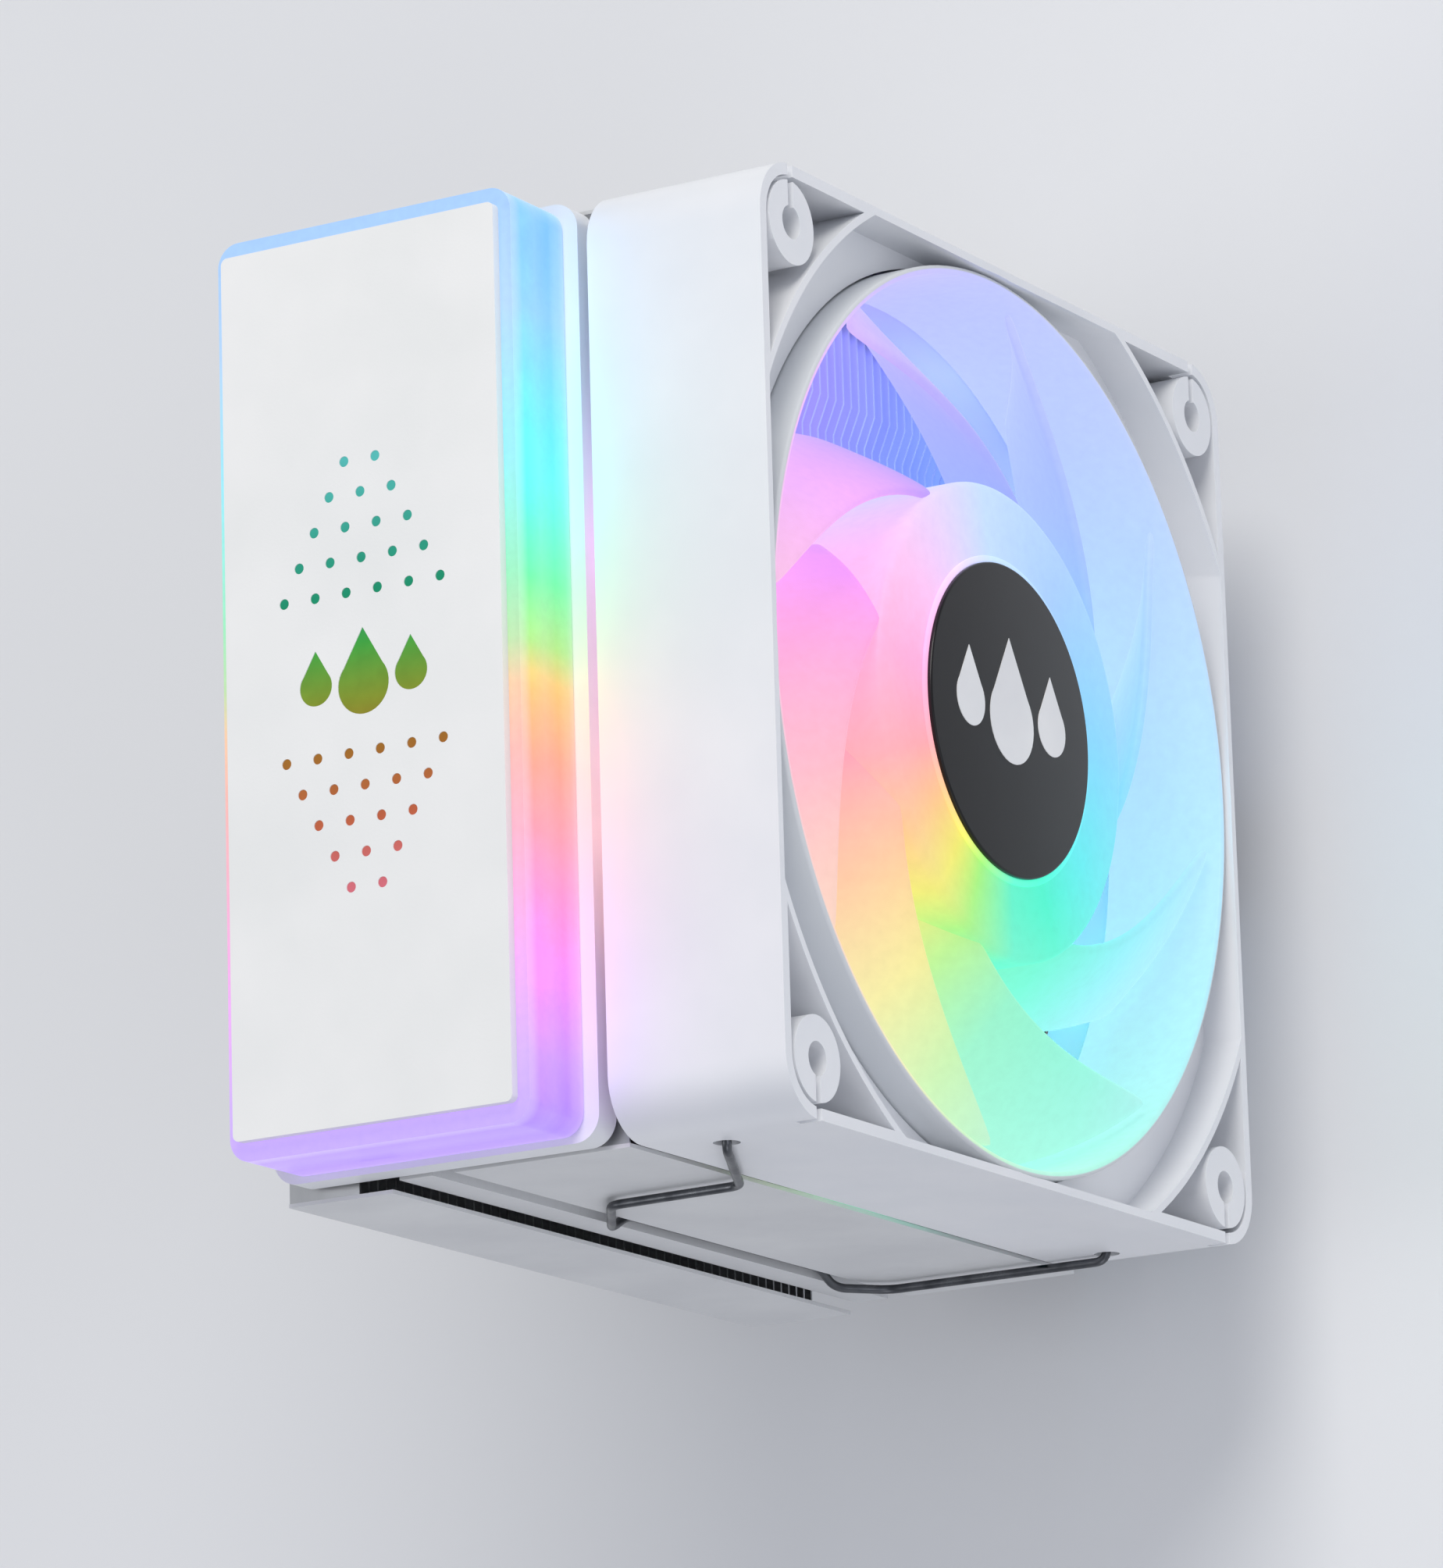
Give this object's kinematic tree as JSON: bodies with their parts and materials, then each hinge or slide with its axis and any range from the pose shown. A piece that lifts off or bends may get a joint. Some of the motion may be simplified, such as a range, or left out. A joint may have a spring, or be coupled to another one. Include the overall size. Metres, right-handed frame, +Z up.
{
  "type": "cpu cooling radiator",
  "caption": "White tower cooling radiator for a processor: heat pipes, closed-side aluminium fins, a frosted light cover with a pattern of dots, and a clip-on 120 mm fan with a lit rotor.",
  "frame": {"origin": "centre of the base's contact face, where it rests on the processor", "axes": "+Z up the tower, +X out of the fan's intake side, +Y along the fins towards one closed side"},
  "size_m": [0.095, 0.123, 0.155],
  "materials": {
    "white_painted_steel": "smooth matte white paint",
    "white_plastic": "smooth matte white",
    "frosted_plastic": "frosted, lets light through",
    "fin_aluminium": "plain rolled sheet",
    "block_aluminium": "milled",
    "copper": "copper, machined flat",
    "winding_copper": "lacquered copper wire",
    "nickel_plate": "satin nickel plate",
    "dark_spring_steel": "dark drawn wire",
    "bright_steel": "zinc-plated steel",
    "brass": "turned brass",
    "soft_rubber": "light grey, matte",
    "circuit_board": "white solder mask",
    "lamp_lens": "clear lens over a yellow chip",
    "black_gloss": "polished black",
    "ferrite": "dark bonded ferrite"
  },
  "bodies": {
    "root": {"contact_plate": "copper", "base_block": "block_aluminium", "heat_pipe_1": "nickel_plate", "heat_pipe_2": "nickel_plate", "heat_pipe_3": "nickel_plate", "heat_pipe_4": "nickel_plate", "fin_stack": "fin_aluminium", "cover_tray": "white_painted_steel", "tray_screw_1": "bright_steel", "tray_screw_2": "bright_steel", "tray_screw_3": "bright_steel", "tray_screw_4": "bright_steel", "light_frame": "frosted_plastic", "top_plate": "white_plastic", "pattern_diffuser": "frosted_plastic", "cover_circuit_board": "circuit_board", "cover_lamp_1": "lamp_lens", "cover_lamp_2": "lamp_lens", "cover_lamp_3": "lamp_lens", "cover_lamp_4": "lamp_lens", "cover_lamp_5": "lamp_lens", "cover_lamp_6": "lamp_lens", "tray_nut_1": "brass", "tray_nut_2": "brass", "tray_nut_3": "brass", "tray_nut_4": "brass", "mounting_bar": "bright_steel", "bar_screw_1": "bright_steel", "bar_screw_2": "bright_steel", "spring_rear": "bright_steel", "spring_front": "bright_steel", "fan_frame": "white_plastic", "mouth_ring": "frosted_plastic", "corner_pad_1": "soft_rubber", "corner_pad_2": "soft_rubber", "corner_pad_3": "soft_rubber", "corner_pad_4": "soft_rubber", "fan_circuit_board": "circuit_board", "bearing_tube": "brass", "stator_core": "dark_spring_steel", "winding_1": "winding_copper", "winding_2": "winding_copper", "winding_3": "winding_copper", "winding_4": "winding_copper"},
    "rotor": {"rotor": "frosted_plastic", "hub_badge": "black_gloss", "yoke_ring": "dark_spring_steel", "magnet_ring": "ferrite", "shaft": "bright_steel", "shaft_clip": "dark_spring_steel"},
    "clip_lower": {"wire_clip_lower": "dark_spring_steel"},
    "clip_upper": {"wire_clip_upper": "dark_spring_steel"},
    "washer_rear": {"washer_rear": "bright_steel"},
    "screw_rear": {"captive_screw_rear": "bright_steel", "retaining_ring_rear": "dark_spring_steel"},
    "washer_front": {"washer_front": "bright_steel"},
    "screw_front": {"captive_screw_front": "bright_steel", "retaining_ring_front": "dark_spring_steel"}
  },
  "joints": [
    {"name": "fan_spin", "type": "hinge", "parent": "root", "child": "rotor", "pos_m": [0.027, 0, 0.084], "axis": [1, 0, 0], "continuous": true},
    {"name": "clip_swing_lower", "type": "hinge", "parent": "root", "child": "clip_lower", "pos_m": [-0.002, -0.0587, 0.084], "axis": [0, 0, -1], "range_deg": [0, 35]},
    {"name": "clip_swing_upper", "type": "hinge", "parent": "root", "child": "clip_upper", "pos_m": [-0.002, 0.0587, 0.084], "axis": [0, 0, 1], "range_deg": [0, 35]},
    {"name": "press_rear", "type": "slide", "parent": "root", "child": "washer_rear", "axis": [0, 0, -1], "range_m": [0, 0.0025], "stiffness_N_per_m": 2000, "springref_m": -0.0005, "deforming": ["spring_rear"]},
    {"name": "turn_rear", "type": "hinge", "parent": "washer_rear", "child": "screw_rear", "pos_m": [-0.0375, 0, 0.02], "axis": [0, 0, 1], "continuous": true},
    {"name": "press_front", "type": "slide", "parent": "root", "child": "washer_front", "axis": [0, 0, -1], "range_m": [0, 0.0025], "stiffness_N_per_m": 2000, "springref_m": -0.0005, "deforming": ["spring_front"]},
    {"name": "turn_front", "type": "hinge", "parent": "washer_front", "child": "screw_front", "pos_m": [0.0375, 0, 0.02], "axis": [0, 0, 1], "continuous": true}
  ]
}
